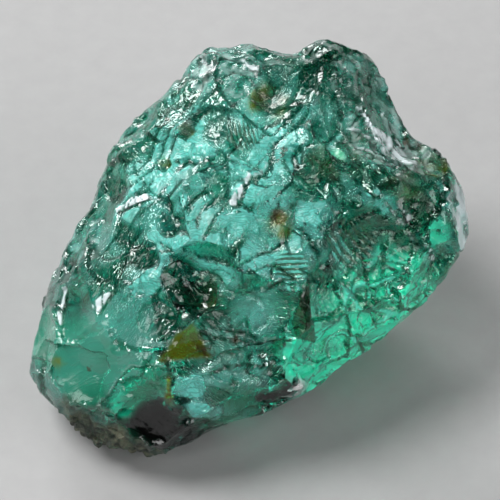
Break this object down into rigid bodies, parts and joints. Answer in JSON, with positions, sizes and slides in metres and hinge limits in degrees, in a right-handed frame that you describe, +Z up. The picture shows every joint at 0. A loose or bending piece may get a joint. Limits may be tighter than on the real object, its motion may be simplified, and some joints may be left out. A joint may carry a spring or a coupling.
{
  "type": "rough emerald crystal",
  "caption": "Rough, unpolished emerald with broken, shell-shaped fractures all over and dark schist grown into its foot, lying on a flat face.",
  "frame": {"origin": "middle of the foot of the bounding box, on the resting face", "axes": "+X to the right along the broad face, +Z up out of the resting face, -Y towards the viewer"},
  "size_m": [0.0218, 0.0188, 0.0156],
  "materials": {
    "emerald": "glassy fracture, frosted along the rim",
    "schist": "dark mica schist, dull with small glints"
  },
  "bodies": {
    "root": {"crystal": "emerald", "schist": "schist", "schist_grain": "schist"}
  },
  "joints": []
}
